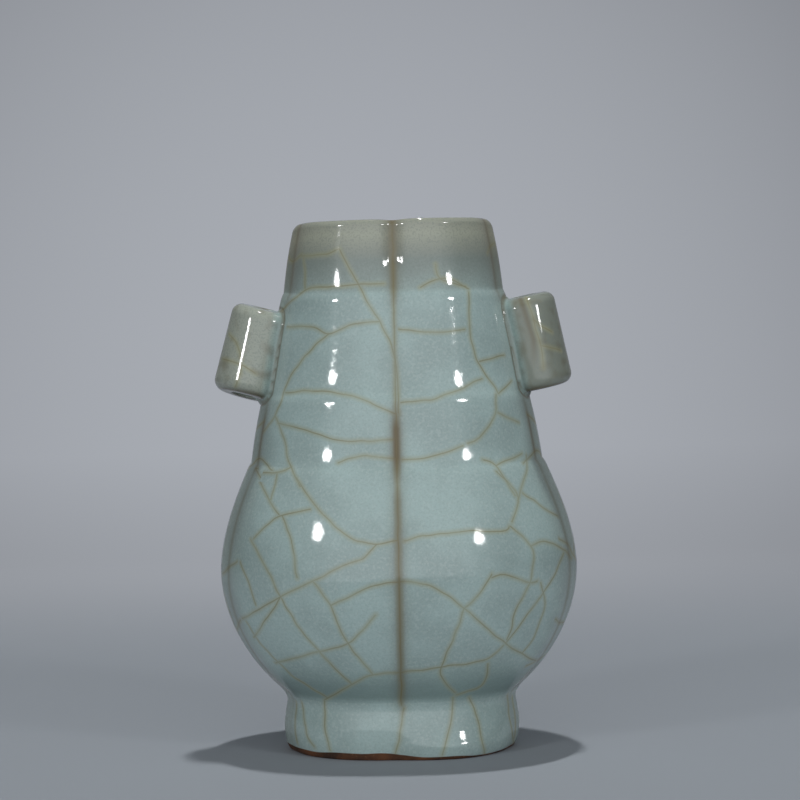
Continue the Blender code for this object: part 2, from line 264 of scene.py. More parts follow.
CRACK_PATCH = 0.020
CRACK_PATCH_RANGE = (0.34, 0.62)
CRACK_SHARES = (0.16, 0.54)
GLOSS_RANGE = (0.3, 0.7)
GLAZE_ROUGHNESS = (0.04, 0.09)


def glaze(name, thin_colour=CELADON_CLOUD, edge_colour=CELADON_CLOUD):
    """Celadon glaze, with the colours that it takes where a piece's notes call it thin or an edge."""
    material = bpy.data.materials.new(name)
    material.use_nodes = True
    tree = material.node_tree
    shader = tree.nodes["Principled BSDF"]
    place = add_node(tree, "ShaderNodeTexCoord", {}).outputs["Object"]
    cloud, bubble, ripple, pits, patch = [
        add_node(
            tree, "ShaderNodeTexNoise", {"Vector": place, "Scale": 1 / size, "Detail": detail}).outputs[0]
        for size, detail in (
            (CLOUD_SIZE, 3.0), (BUBBLE_SIZE, 2.0), (RIPPLE_SIZE, 1.0), (PIT_SIZE, 2.0), (CRACK_PATCH, 2.0))]
    thin, edge, smoke_and_shade, crack, crack_beside = [
        add_node(tree, "ShaderNodeAttribute", {}, attribute_name=note_name).outputs["Fac"]
        for note_name in ("thin", "edge", "smoke_and_shade", "crack", "crack_beside")]
    to_crack = add_node(tree, "ShaderNodeMath", {
        0: add_node(tree, "ShaderNodeMath", {0: crack}, operation="ABSOLUTE").outputs[0],
        1: add_node(tree, "ShaderNodeMath", {0: crack_beside}, operation="ABSOLUTE").outputs[0],
    }, operation="MINIMUM").outputs[0]
    most_stain, most_pits, roughness = [
        add_node(tree, "ShaderNodeMapRange", {0: value, 1: low, 2: high, 3: first, 4: last}).outputs[0]
        for value, (low, high), (first, last) in (
            (patch, CRACK_PATCH_RANGE, CRACK_SHARES),
            (thin, (0.0, 1.0), PIT_SHARES),
            (cloud, GLOSS_RANGE, GLAZE_ROUGHNESS),
        )]
    clouded, bubbled, pitted, haloed, stained = [
        add_node(tree, "ShaderNodeMapRange", {0: value, 1: low, 2: high, 3: 0.0, 4: most},
                 interpolation_type="SMOOTHSTEP").outputs[0]
        for value, (low, high), most in (
            (cloud, CLOUD_RANGE, 1.0),
            (bubble, BUBBLE_RANGE, BUBBLE_SHARE),
            (pits, PIT_RANGE, most_pits),
            (to_crack, (HALO_HALF_WIDTH, 0.0), HALO_SHARE),
            (to_crack, (CRACK_HALF_WIDTH, 0.0), most_stain),
        )]
    colour = linear(CELADON)
    # The note for smoke holds smoke stains and painted shade; the edge note holds pooled glaze on the ears,
    # painted shade above the foot and painted light below the lip.
    for share, tint in (
        (clouded, CELADON_CLOUD),
        (bubbled, BUBBLE_COLOUR),
        (thin, thin_colour),
        (edge, edge_colour),
        (pitted, PIT_COLOUR),
        (haloed, CRACK_HALO),
        (smoke_and_shade, SMOKE_AND_SHADE_GLAZE),
        (stained, CRACK_STAIN),
    ):
        colour = add_node(
            tree, "ShaderNodeMix", {0: share, 6: colour, 7: linear(tint)}, data_type="RGBA").outputs[2]
    waves = add_node(
        tree, "ShaderNodeBump", {"Height": ripple, "Strength": 1.0, "Distance": RIPPLE_DEPTH}).outputs[0]
    skin = add_node(tree, "ShaderNodeBump", {
        "Height": pits, "Strength": 1.0, "Distance": PIT_DEPTH, "Normal": waves}).outputs[0]
    tree.links.new(colour, shader.inputs["Base Color"])
    tree.links.new(roughness, shader.inputs["Roughness"])
    tree.links.new(skin, shader.inputs["Normal"])
    return material


# Stoneware clay rich in iron, fired in a smoky kiln: red-brown, sandy, dull and clouded darker. Its grit
# is drawn coarser than it is, so that it shows.
CLAY = "6B4226"
CLAY_DARK = "3A2417"
CLAY_SPECK = "8A6A48"
CLAY_CLOUD = 0.012
CLAY_CLOUD_RANGE = (0.36, 0.62)
GRIT_SIZE = 0.0008
GRIT_DEPTH = 0.0002
SPECK_RANGE = (0.62, 0.80)
SPECK_SHARE = 0.6
CLAY_ROUGHNESS = 0.78
GLAZE_EDGE = (0.0002, -0.0001)


def bare_below_glaze(material):
    """Show the bare clay of a piece wherever its note says that it lies off the glaze."""
    tree = material.node_tree
    shader = tree.nodes["Principled BSDF"]
    place = add_node(tree, "ShaderNodeTexCoord", {}).outputs["Object"]
    cloud, grit = [
        add_node(
            tree, "ShaderNodeTexNoise", {"Vector": place, "Scale": 1 / size, "Detail": detail}).outputs[0]
        for size, detail in ((CLAY_CLOUD, 3.0), (GRIT_SIZE, 2.0))]
    above_bare = add_node(tree, "ShaderNodeAttribute", {}, attribute_name="above_bare").outputs["Fac"]
    bare, dark, speck = [
        add_node(tree, "ShaderNodeMapRange", {0: value, 1: low, 2: high, 4: most}).outputs[0]
        for value, (low, high), most in (
            (above_bare, GLAZE_EDGE, 1.0), (cloud, CLAY_CLOUD_RANGE, 1.0), (grit, SPECK_RANGE, SPECK_SHARE))]
    colour = linear(CLAY)
    for share, tint in ((dark, CLAY_DARK), (speck, CLAY_SPECK)):
        colour = add_node(
            tree, "ShaderNodeMix", {0: share, 6: colour, 7: linear(tint)}, data_type="RGBA").outputs[2]
    glaze_colour, glaze_roughness, glaze_skin = [
        shader.inputs[name].links[0].from_socket for name in ("Base Color", "Roughness", "Normal")]
    colour = add_node(
        tree, "ShaderNodeMix", {0: bare, 6: glaze_colour, 7: colour}, data_type="RGBA").outputs[2]
    roughness = add_node(tree, "ShaderNodeMix", {0: bare, 2: glaze_roughness, 3: CLAY_ROUGHNESS}).outputs[0]
    sand = add_node(tree, "ShaderNodeMath", {0: grit, 1: bare}, operation="MULTIPLY").outputs[0]
    skin = add_node(tree, "ShaderNodeBump", {
        "Height": sand, "Strength": 1.0, "Distance": GRIT_DEPTH, "Normal": glaze_skin}).outputs[0]
    tree.links.new(colour, shader.inputs["Base Color"])
    tree.links.new(roughness, shader.inputs["Roughness"])
    tree.links.new(skin, shader.inputs["Normal"])


def foot_wall(z):
    """Half width of the foot: a soft bulge, drawn in above, rounded under and filled at the crease."""
    if z < FOOT_BULGE_HEIGHT:
        below = 1 - z / FOOT_BULGE_HEIGHT
        return between(FOOT_BASE_HALF_WIDTH, FOOT_BULGE_HALF_WIDTH, math.sqrt(1 - below * below))
    above = (z - FOOT_BULGE_HEIGHT) / (FOOT_SEAM - FOOT_BULGE_HEIGHT)
    crease = max(0, 1 - (FOOT_SEAM - z) / FOOT_CREASE_HEIGHT)
    wall = between(FOOT_BULGE_HALF_WIDTH, FOOT_NECK_HALF_WIDTH, ease(above))
    return wall + FOOT_CREASE_FILL * crease ** 2


foot_curl = [FOOT_BULGE_HEIGHT * (1 - math.cos(t)) for t in rows(0, math.pi / 2, FOOT_CURL_STEP)]
foot_profile = [(foot_wall(z), z) for z in foot_curl]
foot_profile += [(foot_wall(z), z) for z in rows(FOOT_BULGE_HEIGHT, FOOT_SEAM, ROW)[1:]]
outline += [(z, half_width) for half_width, z in foot_profile]
rebate = FOOT_NECK_HALF_WIDTH - FLOOR_EDGE_INSET + FLOOR_GAP
seat = FLOOR_UNDERSIDE - FLOOR_GAP
foot_profile += [(rebate, FOOT_SEAM), (rebate, seat), (rebate - FLOOR_SEAT, seat)]
foot_profile += [(FOOT_BASE_HALF_WIDTH - FOOT_LAND, 0)]
foot = throw("foot", foot_profile)
press_lobes(foot)
foot_places = places_of(foot)
foot_x, foot_y, foot_z = foot_places.T
flare_share = np.clip(1 - np.maximum(foot_z, RIGHT_FLARE_LOW) / RIGHT_FLARE_HIGH, 0, 1) ** 2
flare_share *= np.interp(foot_x, RIGHT_FLARE_ACROSS, (0, 1))
foot_places[:, 1] *= 1 + RIGHT_FLARE * flare_share
set_places(foot, foot_places)
bare_edge = np.interp(foot_x, BARE_EDGE_ACROSS, (BARE_EDGE_LEFT, BARE_EDGE_RIGHT))
bare_edge += BARE_EDGE_WAVE * unevenness(foot_places, BARE_EDGE_WAVE_SIZE)
outside_foot = np.hypot(foot_x, foot_y / DEPTH_RATIO) > FOOT_BASE_HALF_WIDTH - FOOT_LAND / 2
above_bare = foot_z - np.maximum(bare_edge, BARE_EDGE_LEAST)
note(foot, "above_bare", np.where(outside_foot, above_bare, ALL_BARE))
foot.data.materials.append(glaze("celadon_over_bare_clay"))
bare_below_glaze(foot.data.materials[0])
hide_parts("foot_ring", "foot_lute")
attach(foot, "root")

# The floor: a lobed slab of clay let into the foot ring before the wall was built up.
# It is glazed on top, where the water stands, and left bare and ringed by the turning tool underneath.
FLOOR_EDGE = FOOT_NECK_HALF_WIDTH - FLOOR_EDGE_INSET
TURNING_SPACING = 0.0032
TURNING_DEPTH = 0.00025
TURNING_ROWS = 6
floor_profile = [
    (r, FLOOR_UNDERSIDE + TURNING_DEPTH * (1 - math.cos(math.tau * r / TURNING_SPACING)))
    for r in rows(0, FLOOR_EDGE - FLOOR_SEAT, TURNING_SPACING / TURNING_ROWS)]
floor_profile += [(FLOOR_EDGE, FLOOR_UNDERSIDE), (FLOOR_EDGE, FLOOR_TOP)]
floor_profile += [(r, FLOOR_TOP) for r in rows(FLOOR_EDGE, 0, INSIDE_ROW)[1:]]
floor_slab = throw("floor", floor_profile)
press_lobes(floor_slab)
note(floor_slab, "above_bare", places_of(floor_slab)[:, 2] - (FLOOR_UNDERSIDE + FLOOR_TOP) / 2)
floor_slab.data.materials.append(glaze("bare_stoneware_glazed_on_top"))
bare_below_glaze(floor_slab.data.materials[0])
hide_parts("floor_slab")
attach(floor_slab, "root")

# The lower belly: a bowl of clay luted onto the foot, up to the widest line of the vase.
# Just above the foot its glaze colour is painted darker, as painted shade where the belly turns under.
WALL = 0.0055
BELLY_HALF_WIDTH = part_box("lower_belly")[1].x
BOWL_FULLNESS = 1.9
# Painted shade: how much darker the glaze is painted at each height just above the foot.
SHADE_ABOVE_FOOT_HEIGHTS = (0.0, 0.0025, 0.0080, 0.0170)
SHADE_ABOVE_FOOT_SHARES = (0.20, 0.75, 0.65, 0.0)
CELADON_SHADE_ABOVE_FOOT = "7C928F"
BOWL_NARROWING = 1 - (FOOT_NECK_HALF_WIDTH / BELLY_HALF_WIDTH) ** 2
BOWL_HEIGHT = (BELLY_SEAM - FOOT_SEAM) / BOWL_NARROWING ** (1 / BOWL_FULLNESS)


def bowl(z, depth=0.0):
    """Half width of the bowl under the widest line, or of its inside at a depth in the wall."""
    share = (BELLY_SEAM - z) / (BOWL_HEIGHT - depth)
    crease = max(0, 1 - (z - FOOT_SEAM) / FOOT_CREASE_HEIGHT)
    fill = 0 if depth else FOOT_CREASE_FILL * crease ** 2
    return (BELLY_HALF_WIDTH - depth) * math.sqrt(1 - share ** BOWL_FULLNESS) + fill


celadon = glaze("celadon_glaze", edge_colour=CELADON_SHADE_ABOVE_FOOT)
lower_profile = [(bowl(z), z) for z in rows(FOOT_SEAM, BELLY_SEAM, ROW)]
outline += [(z, half_width) for half_width, z in lower_profile[1:]]
lower_profile += [(bowl(z, WALL), z) for z in rows(BELLY_SEAM, FOOT_SEAM, INSIDE_ROW)]
lower_belly = throw("lower_belly", lower_profile)
press_lobes(lower_belly)
# The edge note lays the painted shade just above the foot.
note(lower_belly, "edge", np.interp(places_of(lower_belly)[:, 2] - FOOT_SEAM, SHADE_ABOVE_FOOT_HEIGHTS, SHADE_ABOVE_FOOT_SHARES))
lower_belly.data.materials.append(celadon)
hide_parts("lower_belly", "belly_lute")
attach(lower_belly, "root")

# The upper belly: a dome of clay that closes in from the widest line to the first ledge.
# Like every band above it, it rolls in under the ledge, and the band over it flares out to meet it.
BELLY_TOP_SLOPE = 0.36
LONG_FLARE = 0.0009
LONG_FLARE_HEIGHT = 0.0120
SHORT_FLARE = 0.00025
SHORT_FLARE_HEIGHT = 0.0030
ROLL = 0.00045
ROLL_HEIGHT = 0.0035
LEDGE = LONG_FLARE + SHORT_FLARE + ROLL
SHOULDER_SEAM = (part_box("upper_belly")[1].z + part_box("shoulder_section")[0].z) / 2
NECK_SEAM = (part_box("shoulder_section")[1].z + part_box("neck_section")[0].z) / 2
SHOULDER_BASE_HALF_WIDTH = 0.0637
FLARE_TURNS = (math.radians(45), math.radians(70))
SIDE_DRAW_HEIGHT = 0.025


def flare(z, seam):
    """How far a band's wall stands out of its line above the ledge that it rises from."""
    long_share = np.clip(1 - (z - seam) / LONG_FLARE_HEIGHT, 0, 1)
    short_share = np.clip(1 - (z - seam) / SHORT_FLARE_HEIGHT, 0, 1)
    return LONG_FLARE * long_share ** 2 + SHORT_FLARE * short_share ** 2


def roll(z, seam):
    """How far a band's wall draws in under the ledge at its top."""
    return ROLL * max(0, 1 - (seam - z) / ROLL_HEIGHT) ** 2


def side_draw(places):
    """How far the wall draws in at the ledges on a side lobe, which rises without a flare."""
    turn = np.abs(turn_of(places))
    side = np.interp(np.minimum(turn, math.pi - turn), FLARE_TURNS, (0, 1))
    heights = places[:, 2]
    draw = np.zeros(len(places))
    for seam in (SHOULDER_SEAM, NECK_SEAM, MOUTH_SEAM):
        below = np.clip(1 - (seam - heights) / SIDE_DRAW_HEIGHT, 0, 1) ** 2
        draw += np.where(heights < seam, (LONG_FLARE + SHORT_FLARE) * below, flare(heights, seam))
    return side * draw


def straighten_sides(piece):
    """Draw the side lobes of a band in at the ledges."""
    places = places_of(piece)
    set_places(piece, places - oval_normal(places) * side_draw(places)[:, None])


def dome(z):
    """Half width of the dome: it leaves the ledge at a slope and turns upright at the widest line."""
    height = SHOULDER_SEAM - BELLY_SEAM
    t = (SHOULDER_SEAM - z) / height
    line = between(SHOULDER_BASE_HALF_WIDTH + LEDGE, BELLY_HALF_WIDTH, ease(t))
    slope = t * (1 - t) ** 2 * height * BELLY_TOP_SLOPE
    return line + slope - roll(z, SHOULDER_SEAM)


def band_profile(wall, low, high):
    """Closed profile of a band of the wall between two seams, outside first."""
    outside = [(wall(z), z) for z in rows(low, high, ROW / 2)]
    outline.extend((z, half_width) for half_width, z in outside[1:])
    return outside + [(wall(z) - WALL, z) for z in rows(high, low, INSIDE_ROW)]


upper_belly = throw("upper_belly", band_profile(dome, BELLY_SEAM, SHOULDER_SEAM))
press_lobes(upper_belly)
straighten_sides(upper_belly)
upper_belly.data.materials.append(celadon)
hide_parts("upper_belly", "shoulder_lute")
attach(upper_belly, "root")

# The shoulder: a sloping band of stoneware clay between the first and the second ledge. It was pressed
# into the same lobes as the belly and luted to both neighbours with slip.
NECK_BASE_HALF_WIDTH = 0.0573


def shoulder_wall(z):
    """Half width of the shoulder."""
    t = (z - SHOULDER_SEAM) / (NECK_SEAM - SHOULDER_SEAM)
    line = between(SHOULDER_BASE_HALF_WIDTH, NECK_BASE_HALF_WIDTH + LEDGE, t)
    return line + flare(z, SHOULDER_SEAM) - roll(z, NECK_SEAM)


shoulder = throw("shoulder", band_profile(shoulder_wall, SHOULDER_SEAM, NECK_SEAM))
press_lobes(shoulder)
straighten_sides(shoulder)
shoulder.data.materials.append(celadon)
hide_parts("shoulder_section", "neck_lute")
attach(shoulder, "root")

# The neck: a steeper band of stoneware clay, pressed and luted like the shoulder. It carries the ears,
# and the glaze lies thick and even on it.
MOUTH_BASE_HALF_WIDTH = 0.0479


def neck_wall(z):
    """Half width of the neck."""
    t = (z - NECK_SEAM) / (MOUTH_SEAM - NECK_SEAM)
    line = between(NECK_BASE_HALF_WIDTH, MOUTH_BASE_HALF_WIDTH + LEDGE, t)
    return line + flare(z, NECK_SEAM) - roll(z, MOUTH_SEAM)


neck = throw("neck", band_profile(neck_wall, NECK_SEAM, MOUTH_SEAM))
press_lobes(neck)
straighten_sides(neck)
neck.data.materials.append(celadon)
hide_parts("neck_section", "mouth_lute")
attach(neck, "root")

# The mouth: the topmost band, deeply grooved and thinned to a rounded rim, a little higher at the right.
# The glaze ran off it in the kiln, so that it thins to grey towards the rim, and a paler band just below the
# lip is painted light.
RIM_HALF_WIDTH = 0.0431
RIM_THICKNESS = 0.0046
RIM_ROUND = 0.0026
RIM_CURL_STEP = 0.20
MOUTH_SIDE_SWELL = 0.0008
MOUTH_FLARE = 1.25
RIM_TILT = 0.010
RIM_BOW = 0.0007
RIM_BOW_TOP = 2.2
RIM_DROOP = 0.0020
RIM_DROOP_POWER = 16
RIM_NOTCH = 0.0007
RIM_NOTCH_POWER = 4
THIN_MOUTH_GLAZE = "81867E"
# Painted light: a paler glaze in a band just below the lip.
RIM_PAINTED_LIGHT = "B1B3A2"
THIN_RISES = (0, 0.06, 0.30, 0.60, 1)
THIN_SHARES = (0, 0.35, 0.60, 0.85, 1)
RIM_PAINTED_LIGHT_RISES = (0.45, 0.80, 1)
RIM_PAINTED_LIGHT_SHARES = (0, 0.80, 0.45)


def mouth_wall(z):
    """Half width of the mouth."""
    t = (z - MOUTH_SEAM) / (RIM_TOP - MOUTH_SEAM)
    base = MOUTH_BASE_HALF_WIDTH - (MOUTH_FLARE - 1) * (LONG_FLARE + SHORT_FLARE)
    return between(base, RIM_HALF_WIDTH, t) + MOUTH_FLARE * flare(z, MOUTH_SEAM)


lip = RIM_TOP - RIM_ROUND
mouth_profile = [(mouth_wall(z), z) for z in rows(MOUTH_SEAM, lip, ROW / 2)]
outline += [(z, half_width) for half_width, z in mouth_profile[1:]]
for curl in rows(0, math.pi, RIM_CURL_STEP)[1:-1]:
    mouth_profile.append((
        mouth_wall(lip) - RIM_THICKNESS / 2 * (1 - math.cos(curl)),
        lip + RIM_ROUND * math.sin(curl),
    ))
for z in rows(lip, MOUTH_SEAM, ROW):
    thickness = between(WALL, RIM_THICKNESS, (z - MOUTH_SEAM) / (lip - MOUTH_SEAM))
    mouth_profile.append((mouth_wall(z) - thickness, z))
mouth = throw("mouth", mouth_profile)
press_lobes(mouth)
straighten_sides(mouth)
mouth_places = places_of(mouth)
rise = np.clip((mouth_places[:, 2] - MOUTH_SEAM) / (RIM_TOP - MOUTH_SEAM), 0, 1)
across = np.abs(mouth_places[:, 0]) / RIM_HALF_WIDTH
bow = RIM_BOW * (RIM_BOW_TOP - across ** 2) - RIM_DROOP * across ** RIM_DROOP_POWER
bow -= RIM_NOTCH * groove_share(mouth_places) ** RIM_NOTCH_POWER
mouth_places[:, 0] *= 1 + 4 * MOUTH_SIDE_SWELL / RIM_HALF_WIDTH * rise * (1 - rise)
mouth_places[:, 2] += rise * (RIM_TILT * mouth_places[:, 0] + bow)
set_places(mouth, mouth_places)
note(mouth, "thin", np.interp(rise, THIN_RISES, THIN_SHARES))
# The edge note lays the painted light just below the lip.
note(mouth, "edge", np.interp(rise, RIM_PAINTED_LIGHT_RISES, RIM_PAINTED_LIGHT_SHARES))
mouth.data.materials.append(glaze("mouth_glaze", THIN_MOUTH_GLAZE, RIM_PAINTED_LIGHT))
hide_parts("mouth_collar")
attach(mouth, "root")

# The ears: short tubes rolled from clay, open at both ends, that lean along the neck. Each is stuck on
# with slip, which is smoothed into a soft fillet, and the thin glaze over it fired grey-olive. The left
# ear's glaze is painted paler than the right's, as painted light.
EAR_BORE = 0.0055
EAR_BORE_ROUND = 0.0012
EAR_BORE_CURL_STEP = 0.4
EAR_END_ROUND = 0.0044
EAR_END_CURL_STEP = 0.16
EAR_TURN_STEPS = 180
EAR_ROW = 0.0008
FILLET = 0.0030
FILLET_OVERLAP = 0.0010
FILLET_SINK = 0.00012
FILLET_FADE = 0.0050
FILLET_REACH = 0.0030
FILLET_PASSES = 40
POOLED_GLAZE = "8FA9A6"
POOL_REACH = 0.0055
POOL_SHARE = 0.8
outline_heights = np.array([z for z, half_width in outline])
outline_widths = np.array([half_width for z, half_width in outline])
NECK_LEAN = math.atan2(NECK_BASE_HALF_WIDTH - MOUTH_BASE_HALF_WIDTH - LEDGE, MOUTH_SEAM - NECK_SEAM)


def wall_distance(places):
    """Distance of each point outside the wall of the vase, near enough for a fillet."""
    x, y, z = places.T
    ratio = depth_ratio(z)
    span = np.hypot(x, y / ratio)
    steepness = np.hypot(x, y / ratio ** 2) / np.maximum(span, MERGE)
    oval = (span - np.interp(z, outline_heights, outline_widths)) / steepness
    pressed = groove_depth(z) * groove_share(places) + side_draw(places)
    pressed += WARP * unevenness(places, WARP_SIZE)
    return (oval + pressed) * math.cos(NECK_LEAN)


def ear_depth(z, ear):
    """How deep an ear is at a height along it, as a share of its width: it draws in towards its top."""
    along = z / ear["half"]
    return ear["deep"] - ear["draw"] * along - ear["barrel"] * along ** 2


def ear_distance(places, ear):
    """Distance of each point outside a tube with rounded ends."""
    x, y, z = (np.column_stack((places, np.ones(len(places)))) @ ear["to_ear"].T).T[:3]
    z = z + ear["slant"] * np.clip(-z / ear["half"], 0, 1) * (y + ear["radius"])
    out = np.hypot(x, y / ear_depth(z, ear)) - (ear["radius"] - EAR_END_ROUND)
    up = np.abs(z) - (ear["half"] - EAR_END_ROUND)
    corner = np.hypot(np.maximum(out, 0), np.maximum(up, 0))
    return np.minimum(np.maximum(out, up), 0) + corner - EAR_END_ROUND


def smooth_least(first, second):
    """The lesser of two distances, rounded where they are near each other."""
    near = np.maximum(FILLET - np.abs(first - second), 0) / FILLET
    return np.minimum(first, second) - near ** 2 * FILLET / 4


def fill_crease(places, normals, ear):
    """Build slip up into an ear's crease with the wall, by moving the ear's points along their normals."""
    lift = np.zeros(len(places))
    start = ear_distance(places, ear)
    for _ in range(FILLET_PASSES):
        moved = places + normals * lift[:, None]
        to_wall = wall_distance(moved) + FILLET_SINK
        lift = np.clip(lift - smooth_least(ear_distance(moved, ear) - start, to_wall), 0, FILLET_REACH)
    covered = -wall_distance(places + normals * lift[:, None]) - FILLET_OVERLAP
    shown = 1 - np.clip(covered / FILLET_FADE, 0, 1)
    return places + normals * (lift * ease(shown))[:, None]


def normals_of(piece):
    """The smooth normals of a piece's points."""
    flat = np.empty(len(piece.data.vertices) * 3)
    piece.data.vertex_normals.foreach_get("vector", flat)
    return flat.reshape(-1, 3)


ears = []
for ear in (
    # The left ear's glaze colour is painted paler than the right's: painted light on the left ear.
    {"hand": "left", "side": -1, "half": 0.0184, "middle": NECK_SEAM + 0.0188, "radius": 0.0146,
     "reach": 0.0064, "lean": math.radians(15.5), "slant": 0.15, "deep": 1.12, "draw": 0.155, "barrel": 0.0,
     "glaze": "9EA499"},
    {"hand": "right", "side": 1, "half": 0.0203, "middle": NECK_SEAM + 0.0203, "radius": 0.0136,
     "reach": 0.0065, "lean": math.radians(12.0), "slant": 0.02, "deep": 1.20, "draw": 0.135, "barrel": 0.05,
     "glaze": "868C82"},
):
    half, radius = ear["half"], ear["radius"]
    upper = [(radius, z) for z in rows(EAR_ROW / 2, half - EAR_END_ROUND, EAR_ROW)]
    for curl in rows(0, math.pi / 2, EAR_END_CURL_STEP)[1:]:
        upper.append((
            radius - EAR_END_ROUND * (1 - math.cos(curl)),
            half - EAR_END_ROUND * (1 - math.sin(curl)),
        ))
    for curl in rows(0, math.pi / 2, EAR_BORE_CURL_STEP):
        upper.append((
            EAR_BORE + EAR_BORE_ROUND * (1 - math.sin(curl)),
            half - EAR_BORE_ROUND * (1 - math.cos(curl)),
        ))
    tube = throw(ear["hand"] + "_ear", upper + [(r, -z) for r, z in reversed(upper)], EAR_TURN_STEPS, 1)
    places = places_of(tube)
    places[:, 1] *= ear_depth(places[:, 2], ear)
    places[:, 2] -= ear["slant"] * np.clip(-places[:, 2] / half, 0, 1) * (places[:, 1] + radius)
    set_places(tube, places)
    stance = Matrix.Translation((ear["side"] * (neck_wall(ear["middle"]) + ear["reach"]), 0, ear["middle"]))
    stance = stance @ Matrix.Rotation(-ear["side"] * ear["lean"], 4, "Y")
    tube.data.transform(stance)
    ear["tube"] = tube
    ear["to_ear"] = np.array(stance.inverted())
    ears.append(ear)
    places = places_of(tube)
    local = (np.column_stack((places, np.ones(len(places)))) @ ear["to_ear"].T).T
    off_bore = np.hypot(local[0], local[1]) > EAR_BORE + 2 * EAR_BORE_ROUND
    places[off_bore] = fill_crease(places[off_bore], normals_of(tube)[off_bore], ear)
    set_places(tube, places)
    pool = 1 - np.clip(wall_distance(places) / POOL_REACH, 0, 1)
    note(tube, "edge", POOL_SHARE * pool)
    note(tube, "thin", 1 - pool)
    tube.data.materials.append(glaze(ear["hand"] + "_ear_glaze", ear["glaze"], POOLED_GLAZE))
    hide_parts(ear["hand"] + "_ear_tube", ear["hand"] + "_ear_lute")
    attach(tube, "root")

# The coat of glaze over the whole vase: poured on in one go, so that it runs across the seams. It crazed
# into long curved cracks, and smoke from the kiln settled in the upright grooves. The side grooves are
# darkened further with painted shade, and painted shade lies in a thin veil over the side lobes and on the
# ears' undersides.
SMOKE_HEIGHTS = (0.000, 0.018, 0.028, 0.050, 0.113, 0.120, 0.131, 0.143, 0.155, 0.194, 0.203, 0.230)
SMOKE_SHARES = (0.05, 0.10, 0.55, 0.72, 0.72, 0.45, 1.10, 1.10, 0.22, 0.22, 0.70, 0.80)
SMOKE_HALO = 0.0034
SMOKE_CORE = 0.0017
# Painted shade: the side grooves are darkened beyond their smoke, and a veil of painted shade darkens the
# side lobes.
SIDE_GROOVE_SMOKE_AND_SHADE = 0.65
SIDE_SHADE_VEIL = 0.22
SIDE_SHADE_VEIL_TURNS = (math.radians(58), math.radians(76))
CREASE_STAIN = 0.75
CREASE_HALF_WIDTH = 0.0010
CREASE_OFF_EAR = 0.0022
# Painted shade on an ear's underside, by how steeply its surface faces down.
UNDERSIDE_PAINTED_SHADE = 0.9
UNDERSIDE_SHADE_SLOPES = (0.6, 0.9)
RUN_STAIN = 0.6
RUN_TOP = (0.0535, 0.200)
RUN_FOOT = (0.0600, 0.178)
RUN_END_HEIGHT = 0.165
RUN_HALF_WIDTH = 0.0016
MOTTLE = 0.55
MOTTLE_SIZE = 0.0042
CRACK_STEP = 0.0008
CRACK_BREAK = 4 * CRACK_STEP
CRACK_SWAY = 0.0005
CRACK_SWAY_SIZE = 0.006
CRACK_NEIGHBOURS = 16
FAR_OFF_CRACK = 0.0050
LEVEL_NORMAL = 0.999
MM = 0.001
